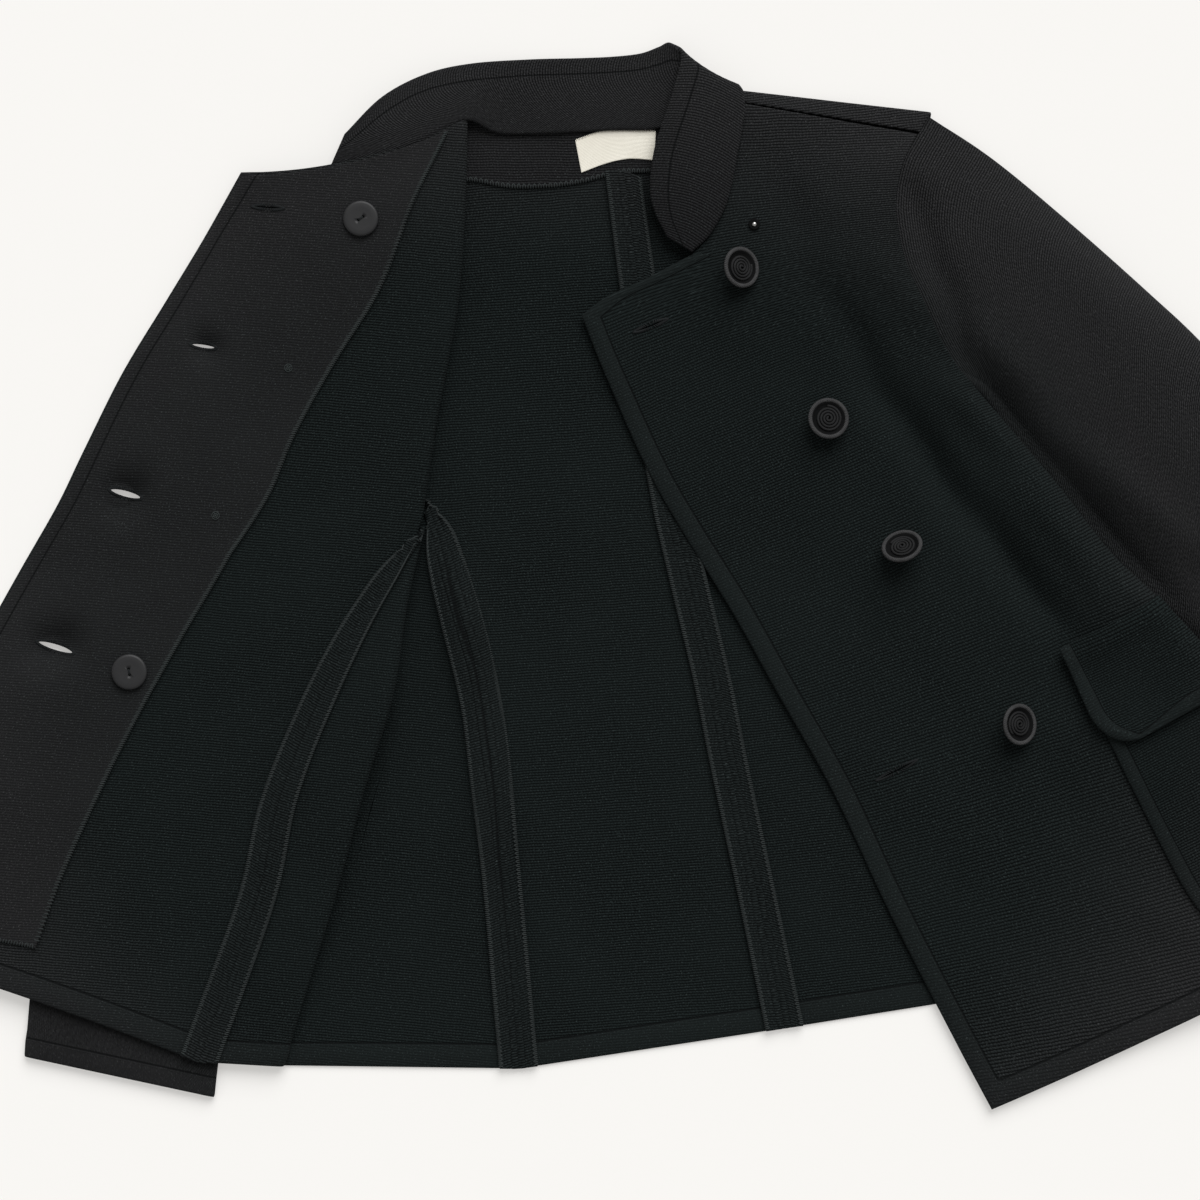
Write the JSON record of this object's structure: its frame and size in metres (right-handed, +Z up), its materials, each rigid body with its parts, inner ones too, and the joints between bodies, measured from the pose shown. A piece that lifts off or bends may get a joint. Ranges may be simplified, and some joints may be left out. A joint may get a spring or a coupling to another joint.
{
  "type": "double-breasted knit jacket laid flat and open",
  "caption": "Short ribbed-knit jacket with a stand collar and flap pockets, laid on its back with one front opened out.",
  "frame": {"origin": "middle of the garment's plan, on the surface it lies on", "axes": "+Z up from the surface, +Y towards the collar, +X towards the wearer's left sleeve"},
  "size_m": [1.1067, 0.6863, 0.032],
  "materials": {
    "knit": "matte",
    "band": "matte",
    "label": "matte",
    "button": "matte",
    "horn": "satin",
    "stud": "satin"
  },
  "bodies": {
    "root": {"back_right": "knit", "back_left": "knit", "side_right": "knit", "side_left": "knit", "front_right": "knit", "front_left": "knit", "facing_right": "band", "collar": "knit", "neck_facing": "band", "label": "label", "seam_strip_back": "band", "seam_strip_side_back": "band", "seam_strip_side_front": "band", "sleeve_left_upper": "knit", "sleeve_left_under": "knit", "sleeve_right_upper": "knit", "sleeve_right_under": "knit", "pocket_left": "knit", "flap_left": "knit", "pocket_right": "knit", "flap_right": "knit", "button_left_1": "button", "button_left_2": "button", "button_left_3": "button", "button_left_4": "button", "button_right_1": "button", "button_right_2": "button", "button_right_3": "button", "button_right_4": "button", "flat_button_1": "horn", "flat_button_2": "horn", "press_stud": "stud"}
  },
  "joints": []
}
